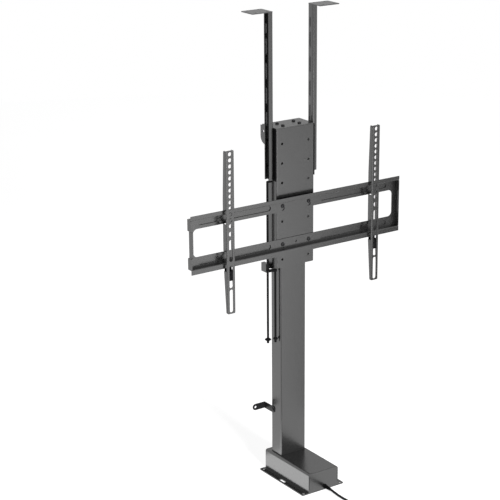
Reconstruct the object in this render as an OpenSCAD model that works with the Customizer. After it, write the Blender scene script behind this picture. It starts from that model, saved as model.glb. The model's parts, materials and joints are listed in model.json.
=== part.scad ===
// Motorized TV lift: a telescoping floor column that carries a television frame and two lid brackets.
// The origin is the centre of the column's footprint on the floor. +Z is up and the television side is -Y.

/* [Base] */
// Width of the base plate
base_w = 131.5; // [124:0.5:150]
// Depth of the base plate, front to back
base_d = 194.5; // [188:0.5:215]
// Reach of the base plate behind the column's centre
base_rear = 39; // [38:0.5:44]
// Thickness of the base plate
base_t = 3; // [2.5:0.5:5]
// Corner radius of the base plate
base_corner_r = 3; // [2:0.5:7]
// Distance between the floor holes, side to side
floor_hole_w = 116; // [108:1:118]
// Distance between the floor holes, front to back
floor_hole_d = 180; // [172:1:182]
// Radius of a floor hole
floor_hole_r = 4; // [3:0.1:4.5]
// Length of the slot in the middle of each side of the base plate
floor_slot_len = 24; // [16:1:30]
// Outer width of the base cover
cover_w = 93.5; // [91:0.5:100]
// Height of the cover's top above the floor
cover_top = 56; // [52:1:80]
// Sheet thickness of the base cover
cover_t = 1.5; // [1:0.1:2]
// Outer bend radius of the base cover's long edges
cover_side_r = 7; // [3:0.5:8]
// Outer bend radius of the base cover's short edges
cover_end_r = 2.5; // [2.5:0.5:6]

/* [Column] */
// Outer width of the outer tube
col_w = 78; // [76:0.5:80]
// Outer depth of the outer tube
col_d = 44; // [43:0.5:46]
// Wall of the outer tube
col_t = 2; // [1.6:0.1:2.4]
// Corner radius of the outer tube
col_corner_r = 4; // [3:0.5:5]
// Height of the outer tube's upper end above the floor
col_top = 935; // [925:1:936]
// Width of the inner tube
inner_w = 70; // [69:0.5:71]
// Depth of the inner tube
inner_d = 36; // [35:0.5:37]
// Wall of the inner tube
inner_t = 2; // [1.5:0.1:2.5]
// Corner radius of the inner tube
inner_corner_r = 3; // [2.5:0.5:4]
// Height of the inner tube's lower end when the lift is down
inner_bottom = 172; // [171:1:180]
// Height of the glides at the tubes' ends
glide_h = 60; // [40:1:80]
// Running clearance between a glide and a tube
glide_gap = 0.1; // [0.05:0.05:0.3]

/* [Drive] */
// Radius of the motor
motor_r = 17; // [15:0.5:18]
// Radius of the gearbox
gearbox_r = 17.5; // [16:0.5:18.5]
// Height of the gearbox's top above the floor
gearbox_top = 150; // [145:1:152]
// Length of the gearbox
gearbox_len = 40; // [30:1:50]
// Radius of the lead screw
screw_r = 8; // [6:0.5:9]
// Height of the lead screw's upper end above the floor
screw_top = 880; // [820:1:900]
// Radius of the shaft end that enters the gearbox
shaft_r = 5; // [4:0.5:5.5]
// Height of the lead screw's nut
nut_h = 28; // [20:1:40]

/* [Carriage] */
// Width of the carriage
carriage_w = 115; // [112:0.5:118]
// Sheet thickness of the carriage
carriage_t = 2; // [1.5:0.1:2.5]
// Height of the carriage's lower edge above the floor
carriage_bottom = 580; // [570:1:590]
// Height of the carriage's upper edge above the floor
carriage_top = 939; // [938:0.5:945]
// Air between the column's front and the carriage plate
carriage_air = 6.7; // [6.5:0.1:9]
// Depth of the carriage's side walls
side_d = 35.6; // [33:0.1:40]
// Drop of the side walls' lower edge towards the back
side_drop = 9; // [0:0.5:12]
// Reach of the rear lobe behind the column's centre
lobe_rear = 38; // [34:0.5:45]
// Height of the rear lobe
lobe_h = 47; // [40:1:60]
// Radius of the rear lobe's lower corner
lobe_r = 20; // [10:1:24]
// Distance of the plate's hole columns
plate_hole_w = 80; // [70:1:90]
// Pitch of the plate's hole rows
plate_hole_pitch = 50; // [50:1:50]
// Thickness of the top cap
cap_t = 2.5; // [2:0.5:4]
// Depth of the top cap
cap_d = 63.7; // [60:0.1:68]
// Distance of the cap screws, side to side
cap_screw_w = 50; // [46:1:54]
// Distance of the cap screws, front to back
cap_screw_d = 25; // [20:0.5:25]

/* [Television frame] */
// Width of the frame
frame_w = 640; // [560:5:800]
// Height of the frame's lower edge above the floor
frame_bottom = 617.3; // [612:0.1:620]
// Sheet thickness of the frame
frame_t = 2; // [1.5:0.1:2.5]
// Reach of the frame's shelves in front of its web
shelf_reach = 14.7; // [12:0.1:18]
// Height of the upper lip
upper_lip_h = 11; // [8:0.5:14]
// Height of the lower lip
lower_lip_h = 13.4; // [9:0.1:14]
// Distance from the lower shelf's top to the upper shelf's underside
rail_span = 123.8; // [123.8:0.1:126]
// Visible height of each rail's web
rail_web_h = 25.3; // [24:0.1:27]
// Width of the end strips
end_strip_w = 10.5; // [10:0.5:14]
// Length of each pressed groove
groove_len = 214; // [150:1:215]
// Height of each pressed groove
groove_h = 13; // [10:0.5:14]
// Depth of each pressed groove
groove_depth = 2.5; // [1:0.1:3]
// Rise of the lower bolt row above the lower shelf
lower_bolt_rise = 11.3; // [10.8:0.1:12.5]
// Distance between the bolt rows
bolt_rows = 100; // [99:0.5:101]

/* [Television arms] */
// Width of an arm
arm_w = 24.5; // [22:0.5:28]
// Sheet thickness of an arm
arm_t = 2; // [1.5:0.1:2.5]
// Height of an arm's lower end above the floor
arm_bottom = 500; // [495:1:502]
// Height of an arm's upper end above the floor
arm_top = 915; // [914:1:925]
// Depth of an arm's side flanges at its rails
arm_depth = 15.3; // [14:0.1:17]
// Distance from the arms' front to the frame lips' front
arm_stand_off = 10.1; // [9:0.1:12]
// Distance of the left arm from the middle
arm_left_x = 212; // [150:1:290]
// Distance of the right arm from the middle
arm_right_x = 234.5; // [150:0.5:290]
// Height of the highest screw hole above the floor
arm_hole_top = 906.2; // [905:0.1:907]
// Pitch of the screw holes
arm_hole_pitch = 15; // [14:0.1:15]
// Number of round screw holes
arm_holes = 13; // [8:1:13]
// Radius of a screw hole and of the slots' ends
arm_hole_r = 5; // [3:0.5:5.5]

/* [Lid brackets] */
// Height of the left lid plate's top above the floor
lid_left_top = 1229.4; // [1229:0.1:1240]
// Height of the right lid plate's top above the floor
lid_right_top = 1236; // [1229:0.1:1240]
// Reach of the left lid bracket below its lower screw
lid_left_foot = 28.6; // [24:0.1:32]
// Reach of the right lid bracket below its lower screw
lid_right_foot = 22; // [18:0.1:32]
// Width of a lid bracket's channel, front to back
lid_channel_w = 21.5; // [20:0.5:23]
// Reach of the channel's flanges
lid_channel_d = 12.4; // [8.6:0.1:14]
// Sheet thickness of a lid bracket
lid_t = 2; // [1.5:0.1:2]
// Outer bend radius of a lid bracket's channel
lid_bend_r = 4; // [2.5:0.5:5]
// Length of a lid plate, side to side
lid_plate_w = 60; // [50:1:80]
// Depth of a lid plate, front to back
lid_plate_d = 50; // [46:1:60]
// Length of a lid bracket's adjusting slot
lid_slot_len = 41; // [36:1:44]
// Width of a lid bracket's adjusting slot
lid_slot_w = 6.5; // [6.3:0.1:7]
// Pitch of the adjusting slots
lid_slot_pitch = 61.2; // [60:0.1:61.6]
// Thickness of the side pads
pad_t = 1.9; // [1.5:0.1:2.5]

/* [Hanging rods] */
// Radius of the hanging rods
rod_r = 2.9; // [2.4:0.1:3]
// Height of the rods' knobs above the floor
rod_knob_z = 383; // [300:1:450]
// Radius of the long rod's knob
knob_long_r = 8.5; // [6:0.5:9]
// Radius of the short rod's knob
knob_short_r = 6.3; // [5:0.1:6.5]

/* [Wall straps] */
// Height of a wall strap
strap_h = 17; // [14:0.5:20]
// Thickness of a wall strap
strap_t = 2.5; // [2:0.5:3]
// Height of the straps' middle above the floor
strap_z = 176.5; // [170:0.5:250]
// Distance from the column's centre to the wall
wall_y = 53; // [45:1:80]
// Length of a strap along the wall
strap_wall_len = 39; // [32:1:60]

/* [Mains cord] */
// Diameter of the cord
cord_d = 6.5; // [6:0.1:6.6]

/* [Hidden] */
$fn = 48;

steel_black = "#3a3a3c";
steel_grey = "#55565a";
plastic_black = "#1d1d1f";
zinc = "#9a9ca0";

sides = [-1, 1];
fit = 0.05;
slide_gap = 0.1;
seat_gap = 0.2;
cut = 1;

// Base
base_mid_y = base_rear - base_d / 2;
base_front = base_rear - base_d;
floor_hole_mid = -59;
floor_slot_y = -56;
cover_in = cover_w / 2 - cover_t;
tab = 12;
tab_x = cover_in - tab / 2;
tab_front_y = base_front + 15.5;
tab_rear_y = base_rear - cover_t - tab / 2;
cover_screw_r = 2;
foot_t = 3;
foot_top = base_t + foot_t;
foot_front = 28;
foot_rear = 14;
foot_rear_w = 60;
foot_bolt_r = 3;
foot_bolt_front = [28, -col_d / 2 - 18];
foot_bolt_rear = [18, col_d / 2 + 8.5];
gland_x = 5;
gland_z = 9;
gland_r = 4.6;
gland_len = 25;

// Column and drive
bore_w = col_w - 2 * col_t;
bore_d = col_d - 2 * col_t;
flange_t = 2;
pad_corner = 7;
mount_h = 12;
bearing_h = 8;
collar_h = 9.8;

// Carriage and frame, from the column's front towards the television
carriage_in_y = -col_d / 2 - carriage_air;
carriage_front = carriage_in_y - carriage_t;
side_back = carriage_front + side_d;
web_front = carriage_front - frame_t;
lip_front = web_front - shelf_reach;
arm_front = lip_front - arm_stand_off;
arm_back = arm_front + arm_t;
lower_shelf_top = frame_bottom + lower_lip_h;
upper_shelf_z = lower_shelf_top + rail_span;
frame_top = upper_shelf_z + upper_lip_h;
window_z0 = lower_shelf_top + rail_web_h;
window_z1 = upper_shelf_z - rail_web_h - frame_t;
end_step = 4;
frame_mid = 1;
frame_left = frame_mid - frame_w / 2;
frame_right = frame_mid + frame_w / 2;
window_left = frame_left + end_step + end_strip_w;
window_right = frame_right - frame_t - end_strip_w;
lower_bolt_z = lower_shelf_top + lower_bolt_rise;
bolt_rows_z = [lower_bolt_z, lower_bolt_z + bolt_rows];
bolt_r = 3;
bolt_head_r = 5.25;
bolt_head_h = 3.3;
bolt_hex_r = 2.3;
keyhole_drop = 6.6;
washer_t = 1.2;
washer_r = 6;
frame_nut_r = 5;
frame_nut_h = 4;
plate_hole_r = 3.3;
plate_top_hole = 901;
plate_rows_z = [for (row = [0, 1, 2, 4, 6]) plate_top_hole - row * plate_hole_pitch];

// Lid brackets
lid_y = -11;
lid_inner = carriage_w / 2 + pad_t + slide_gap;
lid_screw_z = [838, 903];
lid_screw_r = 3;
lid_short_slot_drop = 44.4;
lid_short_slot_len = 25;
lid_first_slot_rise = 25;
lid_last_slot_drop = 89;
lid_washer_r = 7;
lid_washer_t = 1.2;
lid_head_r = 5.5;
lid_head_h = 3.5;
lid_nut_h = 4.5;
pad_bottom = 807;

// Rods
rod_long_at = [-66, -3];
rod_short_at = [-46.5, -8.3];
rod_hook_z = 801.5;
link_h = 6;
link_z0 = carriage_bottom - side_drop - link_h;
block_front = 1.6;
block_z = [562, 585];

// Shapes in a plane

module rounded_rect(w, d, r) {
    square([w - 2 * r, d], center = true);
    square([w, d - 2 * r], center = true);
    for (x = sides, y = sides)
        translate([x * (w / 2 - r), y * (d / 2 - r)]) circle(r);
}

module chamfered_rect(w, d, c) {
    polygon([[-w / 2 + c, -d / 2], [w / 2 - c, -d / 2], [w / 2, -d / 2 + c], [w / 2, d / 2 - c],
        [w / 2 - c, d / 2], [-w / 2 + c, d / 2], [-w / 2, d / 2 - c], [-w / 2, -d / 2 + c]]);
}

// A slot with round ends that runs up from z0 to z1 on the line x
module upright_slot(x, z0, z1, r) {
    translate([x - r, z0 + r]) square([2 * r, z1 - z0 - 2 * r]);
    for (z = [z0 + r, z1 - r])
        translate([x, z]) circle(r);
}

module level_slot(len, r) {
    square([len - 2 * r, 2 * r], center = true);
    for (x = sides)
        translate([x * (len / 2 - r), 0]) circle(r);
}

// A plane shape (y, z) carried along X
module along_x(x0, len) {
    translate([x0, 0, 0]) rotate([90, 0, 90]) linear_extrude(height = len) children();
}

// A plane shape (x, z) carried from the plane y1 towards the front
module along_y(y1, len) {
    translate([0, y1, 0]) rotate([90, 0, 0]) linear_extrude(height = len) children();
}

module along_z(z0, len) {
    translate([0, 0, z0]) linear_extrude(height = len) children();
}

module pin_x(x0, len, y, z, r) {
    translate([x0, y, z]) rotate([0, 90, 0]) cylinder(h = len, r = r);
}

module pin_y(y1, len, x, z, r) {
    translate([x, y1, z]) rotate([90, 0, 0]) cylinder(h = len, r = r);
}

module block_from(low, high) {
    translate(low) cube(high - low);
}

// Base

module cover_screw_places() {
    for (x = sides, y = [tab_front_y, tab_rear_y])
        translate([x * tab_x, y, 0]) children();
}

module foot_bolt_places() {
    for (x = sides, place = [foot_bolt_front, foot_bolt_rear])
        translate([x * place[0], place[1], 0]) children();
}

// A countersunk hole that opens downwards
module countersink(r) {
    translate([0, 0, -cut]) cylinder(h = base_t + 2 * cut, r = r);
    translate([0, 0, -0.01]) cylinder(h = r, r1 = 2 * r, r2 = r);
}

module base_plate() {
    color(steel_black) difference() {
        translate([0, base_mid_y, 0]) linear_extrude(height = base_t)
            rounded_rect(base_w, base_d, base_corner_r);
        for (x = sides, y = sides)
            translate([x * floor_hole_w / 2, floor_hole_mid + y * floor_hole_d / 2, -cut])
                cylinder(h = base_t + 2 * cut, r = floor_hole_r);
        for (x = sides)
            translate([x * floor_hole_w / 2, floor_slot_y, -cut]) linear_extrude(height = base_t + 2 * cut)
                rotate(90) level_slot(floor_slot_len, floor_hole_r);
        cover_screw_places() countersink(cover_screw_r + seat_gap);
        foot_bolt_places() countersink(foot_bolt_r + seat_gap);
    }
}

// The top half of a folded box's profile: square below, round at both upper corners
module folded_profile(w, z0, z1, r) {
    translate([-w / 2, z0]) square([w, z1 - z0 - r]);
    translate([-w / 2 + r, z0]) square([w - 2 * r, z1 - z0]);
    for (x = sides)
        translate([x * (w / 2 - r), z1 - r]) circle(r);
}

module folded_box(w, d, z0, z1, side_r, end_r) {
    intersection() {
        along_y(base_mid_y + d / 2, d) folded_profile(w, z0, z1, side_r);
        translate([0, base_mid_y, 0]) along_x(-w / 2, w) folded_profile(d, z0, z1, end_r);
    }
}

// Narrow slits that part the cover's end walls from its side walls
module cover_slits() {
    slit_w = 1;
    slit_rim = 9;
    for (x = sides, y = [base_front, base_rear - cover_t])
        translate([x * (cover_in - slit_w / 2) - slit_w / 2, y - cut, base_t + slit_rim])
            cube([slit_w, cover_t + 2 * cut, cover_top - base_t - 2 * slit_rim]);
}

module base_cover() {
    color(steel_black) difference() {
        union() {
            difference() {
                folded_box(cover_w, base_d, base_t, cover_top, cover_side_r, cover_end_r);
                folded_box(cover_w - 2 * cover_t, base_d - 2 * cover_t, base_t - cut, cover_top - cover_t,
                    cover_side_r - cover_t, cover_end_r - cover_t);
            }
            for (x = sides, y = [tab_front_y, tab_rear_y])
                translate([x * tab_x - tab / 2, y - tab / 2, base_t]) cube([tab, tab, cover_t]);
        }
        along_z(cover_top - 5, 6) rounded_rect(col_w + 1, col_d + 1, col_corner_r + 0.5);
        cover_slits();
        pin_y(base_front + 3, 6, gland_x, gland_z, gland_r + fit);
        cover_screw_places() cylinder(h = cover_top / 2, r = cover_screw_r + fit);
    }
}

module countersunk_screw(r, len) {
    translate([0, 0, seat_gap]) cylinder(h = r - seat_gap, r1 = 2 * r - seat_gap, r2 = r);
    translate([0, 0, seat_gap]) cylinder(h = len, r = r);
}

module cover_screws() {
    color(zinc) cover_screw_places() countersunk_screw(cover_screw_r, base_t + cover_t + 2.5);
}

module power_supply() {
    left = -cover_in + 3;
    right = 0;
    front = base_front + 22;
    back = -col_d / 2 - foot_front - 6;
    top = cover_top - 16;
    color(plastic_black) {
        block_from([left, front, base_t], [right, back, top]);
        for (rib = [0 : 4])
            translate([left + 5 + rib * 7, front + 6, top - 0.5]) cube([3, back - front - 12, 2.5]);
    }
}

module control_board() {
    left = 8;
    right = cover_in - 3;
    front = base_front + 24;
    back = -col_d / 2 - foot_front - 6;
    board_z = base_t + 5;
    color("#20563a") {
        block_from([left, front, board_z], [right, back, board_z + 1.6]);
        for (x = [left + 5, right - 5], y = [front + 5, back - 5])
            translate([x, y, base_t]) cylinder(h = 6, r = 2.5);
        block_from([left + 3, front + 12, board_z + 1], [left + 17, front + 26, board_z + 18]);
        block_from([left + 21, front + 14, board_z + 1], [right - 2, front + 36, board_z + 14]);
        for (place = [0 : 1])
            translate([left + 8, front + 36 + place * 14, board_z + 1]) cylinder(h = 20, r = 5);
    }
}

module cord_gland() {
    color(plastic_black) {
        pin_y(base_front + 5, 5 + cover_t, gland_x, gland_z, gland_r);
        pin_y(base_front + cover_t + 3, 3, gland_x, gland_z, gland_r + 1.2);
        pin_y(base_front, 2.5, gland_x, gland_z, gland_r + 1.2);
        translate([gland_x, base_front - 2, gland_z]) rotate([90, 0, 0])
            cylinder(h = gland_len - 2, r1 = gland_r, r2 = cord_d / 2 + 0.6);
        for (ring = [0 : 2])
            pin_y(base_front - 5 - ring * 5.5, 2.5, gland_x, gland_z, gland_r + 0.5 - ring * 0.3);
    }
}

// Mains cord: the free stretch follows hand-chosen points; the coil is worked out

coil_mid = [60.8, -400];
coil_pitch = 7.1;
coil_turns = 3;
coil_inner_r = 27.5;
coil_layer = 7;
coil_low_z = 3.3;
coil_end = 24;
cord_route = [[5, -180.5, 9], [5, -196, 7.5], [6, -215, 5], [8, -240, 3.5], [11, -290, 3.3],
    [12, -340, 3.3], [12, -393.5, 3.3]];
cord_steps = 3;
cord_sides = 8;
loop_steps = 24;
loop_sides = 6;

function spline(a, b, c, d, t) = 0.5 * (2 * b + (c - a) * t + (2 * a - 5 * b + 4 * c - d) * t * t
    + (3 * b - a - 3 * c + d) * t * t * t);
function route_at(points, i) = points[max(0, min(len(points) - 1, i))];
function smooth_route(points) = concat(
    [for (i = [0 : len(points) - 2], s = [0 : cord_steps - 1])
        spline(route_at(points, i - 1), points[i], points[i + 1], route_at(points, i + 2), s / cord_steps)],
    [points[len(points) - 1]]);

function unit(v) = v / norm(v);
function heading(points, i, ends) =
    i == 0 || i == len(points) - 1 ? ends : unit(points[i + 1] - points[i - 1]);
function ring_at(point, way, r, count) =
    let (level = unit(cross(way, [0, 0, 1])), rise = cross(level, way))
    [for (k = [0 : count - 1])
        let (a = 360 * (k + 0.5) / count)
        point + r * (cos(a) * level + sin(a) * rise)];

// A tube of straight-sided rings along a list of points, square to its ends
module swept_tube(points, r, count, ends) {
    rings = len(points);
    corners = [for (i = [0 : rings - 1]) each ring_at(points[i], heading(points, i, ends), r, count)];
    walls = [for (i = [0 : rings - 2], k = [0 : count - 1])
        let (a = i * count + k, b = i * count + (k + 1) % count)
        each [[a, a + count, b], [b, a + count, b + count]]];
    polyhedron(corners, concat(
        [[for (k = [0 : count - 1]) k]],
        walls,
        [[for (k = [count - 1 : -1 : 0]) (rings - 1) * count + k]]));
}

// The coil's centre line: it winds in, climbs one layer in the half turn at the middle and winds out again
function coil_radius(turn) = coil_inner_r + coil_pitch * abs(turn - coil_turns);
function coil_rise(turn) = coil_layer * min(1, max(0, (turn - coil_turns) * 2 + 0.5));
function coil_point(turn) = [
    coil_mid[0] + coil_radius(turn) * cos(180 + 360 * turn),
    coil_mid[1] + coil_radius(turn) * sin(180 + 360 * turn),
    coil_low_z + coil_rise(turn)];
coil_line = concat(
    [coil_point(0) + [0, cord_d, 0]],
    [for (i = [0 : 2 * coil_turns * loop_steps]) coil_point(i / loop_steps)],
    [coil_point(2 * coil_turns) - [0, coil_end, 0]]);
coil_gap = min([for (i = [0 : len(coil_line) - 1], j = [i + 6 : 1 : len(coil_line) - 1])
    norm(coil_line[i] - coil_line[j])]) - cord_d;
echo(least_gap_in_coil = coil_gap);

module mains_cord() {
    color(plastic_black) swept_tube(smooth_route(cord_route), cord_d / 2, cord_sides, [0, -1, 0]);
}

module cord_coil() {
    color(plastic_black) swept_tube(coil_line, cord_d / 2, loop_sides, [0, -1, 0]);
}

plug_at = coil_point(2 * coil_turns) - [0, coil_end, 0];

module mains_plug() {
    color(plastic_black) translate(plug_at) rotate([90, 0, 0]) {
        cylinder(h = 20, r1 = cord_d / 2 + 0.6, r2 = 5.5);
        translate([0, 0, 19]) linear_extrude(height = 24) rounded_rect(27, 20, 6);
        translate([0, 0, 42.5]) {
            for (x = sides)
                translate([x * 6.35 - 0.75, 1.5, 0]) cube([1.5, 6.3, 16.5]);
            translate([0, -6.6, 0]) cylinder(h = 19, r = 2.4);
        }
    }
}

// Column

module outer_tube() {
    color(steel_black) difference() {
        along_z(foot_top, col_top - foot_top) difference() {
            rounded_rect(col_w, col_d, col_corner_r);
            rounded_rect(bore_w, bore_d, col_corner_r - col_t);
        }
        pin_x(-col_w, 2 * col_w, strap_rivet_y, strap_z, rivet_r + fit);
    }
}

module gusset(x, y0, reach, h) {
    along_x(x - foot_t / 2, foot_t) polygon([[y0, foot_top - 0.5], [y0 + reach, foot_top - 0.5],
        [y0, foot_top + h]]);
}

module column_foot() {
    upright_w = 64;
    front_h = 38;
    rear_h = 30;
    color(steel_grey) difference() {
        union() {
            block_from([-col_w / 2, -col_d / 2 - foot_front, base_t], [col_w / 2, col_d / 2, foot_top]);
            block_from([-foot_rear_w / 2, 0, base_t], [foot_rear_w / 2, col_d / 2 + foot_rear, foot_top]);
            block_from([-upright_w / 2, -col_d / 2 - foot_t, foot_top - cut],
                [upright_w / 2, -col_d / 2, foot_top + front_h]);
            block_from([-foot_rear_w / 2, col_d / 2, foot_top - cut],
                [foot_rear_w / 2, col_d / 2 + foot_t, foot_top + rear_h]);
            for (x = [-16, 16])
                gusset(x, -col_d / 2 - foot_t + 0.5, -foot_front + foot_t + 3, front_h - 4);
            for (x = [-8, 8])
                gusset(x, col_d / 2 + foot_t - 0.5, foot_rear - foot_t - 1, rear_h - 4);
            foot_bolt_places() translate([0, 0, foot_top - 0.5])
                cylinder(h = 5.5, r = 5.2 / cos(30), $fn = 6);
        }
        foot_bolt_places() translate([0, 0, base_t - cut]) cylinder(h = 15, r = foot_bolt_r + fit);
    }
}

module foot_bolts() {
    color(zinc) foot_bolt_places() countersunk_screw(foot_bolt_r, foot_top + 5);
}

module motor_housing() {
    color(steel_grey) {
        translate([0, 0, foot_top + 4]) cylinder(h = gearbox_top - gearbox_len - foot_top - 4, r = motor_r);
        translate([0, 0, foot_top + 2]) cylinder(h = 3, r = motor_r - 4);
    }
}

module gearbox() {
    color(zinc) difference() {
        translate([0, 0, gearbox_top - gearbox_len]) cylinder(h = gearbox_len, r = gearbox_r);
        translate([0, 0, gearbox_top - 12]) cylinder(h = 13, r = shaft_r + fit);
    }
}

// A block that fills the tube's bore round the motor or the gearbox
module bore_block(z0, h, r) {
    along_z(z0, h) difference() {
        chamfered_rect(bore_w, bore_d, pad_corner);
        circle(r);
    }
}

module motor_mounts() {
    color(plastic_black) {
        bore_block(foot_top, 2, motor_r - 8);
        bore_block(foot_top + 6, mount_h, motor_r + fit);
        bore_block(gearbox_top - mount_h - 2, mount_h, gearbox_r + fit);
    }
}

module thrust_bearing() {
    color(zinc) translate([0, 0, gearbox_top]) difference() {
        cylinder(h = bearing_h, r = screw_r + 8);
        translate([0, 0, -cut]) cylinder(h = bearing_h + 2 * cut, r = screw_r + fit);
    }
}

module lead_screw() {
    color(zinc) {
        translate([0, 0, gearbox_top + seat_gap])
            cylinder(h = screw_top - gearbox_top - seat_gap, r = screw_r);
        translate([0, 0, gearbox_top - 11]) cylinder(h = 12, r = shaft_r);
    }
}

module spindle_collar() {
    color(steel_grey) translate([0, 0, gearbox_top + bearing_h + slide_gap]) difference() {
        cylinder(h = collar_h, r = screw_r + 4);
        translate([0, 0, -cut]) cylinder(h = collar_h + 2 * cut, r = screw_r + fit);
    }
}

// Four flat pads, two across the tube and two along it, that leave the rounded corners free
module glide_pads(w, d, corner) {
    square([w, d - 2 * corner], center = true);
    square([w - 2 * corner, d], center = true);
}

module upper_glides() {
    color(plastic_black) difference() {
        union() {
            along_z(col_top - glide_h, glide_h + 0.5) glide_pads(bore_w, bore_d, pad_corner);
            along_z(col_top, flange_t) rounded_rect(col_w - 1, col_d - 1, col_corner_r);
        }
        along_z(col_top - glide_h - cut, glide_h + flange_t + 2 * cut)
            rounded_rect(inner_w + 2 * glide_gap, inner_d + 2 * glide_gap, inner_corner_r - 1);
    }
}

module inner_tube() {
    color(steel_grey) along_z(inner_bottom, carriage_top - inner_bottom) difference() {
        rounded_rect(inner_w, inner_d, inner_corner_r);
        rounded_rect(inner_w - 2 * inner_t, inner_d - 2 * inner_t, inner_corner_r - inner_t);
    }
}

module lower_glides() {
    color(plastic_black) difference() {
        union() {
            along_z(inner_bottom - 0.5, glide_h) difference() {
                glide_pads(bore_w - 2 * glide_gap, bore_d - 2 * glide_gap, pad_corner + 1);
                square([inner_w, inner_d], center = true);
            }
            along_z(inner_bottom - flange_t, flange_t) rounded_rect(bore_w - 1, bore_d - 1, col_corner_r);
        }
        translate([0, 0, inner_bottom - flange_t - cut]) cylinder(h = flange_t + 2 * cut, r = screw_r + 2);
    }
}

module spindle_nut() {
    color("#b09a50") along_z(inner_bottom, nut_h) difference() {
        chamfered_rect(inner_w - 2 * inner_t, inner_d - 2 * inner_t, 3);
        circle(screw_r + 0.3);
    }
}

module cap_screw_places() {
    for (x = sides, y = sides)
        translate([x * cap_screw_w / 2, y * cap_screw_d / 2, 0]) children();
}

cap_screw_r = 2.5;
end_block_h = 24;

module tube_end_block() {
    color(steel_grey) difference() {
        along_z(carriage_top - end_block_h, end_block_h)
            chamfered_rect(inner_w - 2 * inner_t, inner_d - 2 * inner_t, 3);
        cap_screw_places() translate([0, 0, carriage_top - end_block_h - cut])
            cylinder(h = end_block_h + 2 * cut, r = cap_screw_r + fit);
    }
}

module top_cap() {
    color(steel_black) difference() {
        along_z(carriage_top, cap_t) translate([0, carriage_front + cap_d / 2])
            rounded_rect(carriage_w, cap_d, 3);
        cap_screw_places() translate([0, 0, carriage_top - cut]) cylinder(h = cap_t + 2 * cut, r = 3);
    }
}

module cap_screws() {
    color(zinc) cap_screw_places() difference() {
        union() {
            translate([0, 0, carriage_top + cap_t]) cylinder(h = 3.2, r = 4.5);
            translate([0, 0, carriage_top - 16]) cylinder(h = 16.5 + cap_t, r = cap_screw_r);
        }
        translate([0, 0, carriage_top + cap_t + 1.2]) cylinder(h = 3, r = 2.2, $fn = 6);
    }
}

// Carriage

// Plan of the folded carriage: a front plate with a side wall at each end
module carriage_plan() {
    bend_r = 3;
    depth = lobe_rear - carriage_front;
    difference() {
        union() {
            translate([-carriage_w / 2, carriage_front + bend_r]) square([carriage_w, depth - bend_r]);
            translate([-carriage_w / 2 + bend_r, carriage_front]) square([carriage_w - 2 * bend_r, depth]);
            for (x = sides)
                translate([x * (carriage_w / 2 - bend_r), carriage_front + bend_r]) circle(bend_r);
        }
        translate([-carriage_w / 2 + carriage_t, carriage_in_y])
            square([carriage_w - 2 * carriage_t, depth]);
    }
}

module carriage_side() {
    lobe_z = carriage_top - lobe_h;
    polygon([[carriage_front, carriage_bottom], [carriage_in_y, carriage_bottom],
        [side_back, carriage_bottom - side_drop], [side_back, carriage_top], [carriage_front, carriage_top]]);
    translate([side_back - cut, lobe_z]) square([lobe_rear - lobe_r - side_back + cut, lobe_h]);
    translate([side_back - cut, lobe_z + lobe_r]) square([lobe_rear - side_back + cut, lobe_h - lobe_r]);
    translate([lobe_rear - lobe_r, lobe_z + lobe_r]) circle(lobe_r);
}

module carriage_face() {
    r = 5;
    translate([0, carriage_bottom + (carriage_top + 20 - carriage_bottom) / 2])
        rounded_rect(carriage_w, carriage_top + 20 - carriage_bottom, r);
}

lobe_hole = [26, 924.6];
lobe_hole_r = 3.2;

module carriage_shell() {
    color(steel_black) difference() {
        intersection() {
            along_z(carriage_bottom - side_drop, carriage_top - carriage_bottom + side_drop) carriage_plan();
            along_x(-carriage_w / 2, carriage_w) carriage_side();
            union() {
                along_y(carriage_in_y, carriage_t) carriage_face();
                along_y(lobe_rear, lobe_rear - carriage_in_y)
                    translate([-carriage_w / 2, carriage_bottom - side_drop])
                        square([carriage_w, carriage_top - carriage_bottom + side_drop]);
            }
        }
        for (x = sides, z = plate_rows_z)
            pin_y(carriage_in_y + cut, carriage_t + 2 * cut, x * plate_hole_w / 2, z, plate_hole_r);
        for (x = sides, z = bolt_rows_z)
            pin_y(carriage_in_y + cut, carriage_t + 2 * cut, x * plate_hole_w / 2, z, bolt_r + fit);
        pin_x(-carriage_w, carriage_w, lobe_hole[0], lobe_hole[1], lobe_hole_r);
        for (z = lid_screw_z)
            pin_x(-carriage_w, 2 * carriage_w, lid_y, z, lid_screw_r + fit);
        pin_x(-carriage_w, carriage_w, rod_long_at[1], rod_hook_z, rod_r + fit);
    }
}

module side_pad(x0) {
    color(plastic_black) difference() {
        block_from([x0, carriage_front, pad_bottom], [x0 + pad_t, side_back, carriage_top]);
        for (z = lid_screw_z)
            pin_x(x0 - cut, pad_t + 2 * cut, lid_y, z, lid_screw_r + fit);
    }
}

module side_pad_left() {
    side_pad(-carriage_w / 2 - pad_t);
}

module side_pad_right() {
    side_pad(carriage_w / 2);
}

// Television frame

module frame_web() {
    tab_z = rail_web_h + 4;
    difference() {
        union() {
            translate([frame_left + end_step, lower_shelf_top - frame_t])
                square([frame_w - end_step, rail_span + 2 * frame_t]);
            for (z = [lower_shelf_top - frame_t, upper_shelf_z + frame_t - tab_z])
                translate([frame_left, z]) square([frame_w, tab_z]);
        }
        translate([(window_left + window_right) / 2, (window_z0 + window_z1) / 2])
            rounded_rect(window_right - window_left, window_z1 - window_z0, 12);
        for (x = sides, z = bolt_rows_z)
            translate([x * plate_hole_w / 2, z]) circle(bolt_r + fit);
        for (x = sides) {
            upright_slot(x * plate_hole_w / 2, bolt_rows_z[1] - keyhole_drop, bolt_rows_z[1], bolt_r + fit);
            translate([x * plate_hole_w / 2, bolt_rows_z[1] - keyhole_drop]) circle(bolt_head_r + 0.35);
        }
        translate([0, lower_bolt_z + 2]) circle(3.5);
        translate([-plate_hole_w / 2 + 2, lower_bolt_z - 9]) circle(1.5);
    }
}

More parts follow.
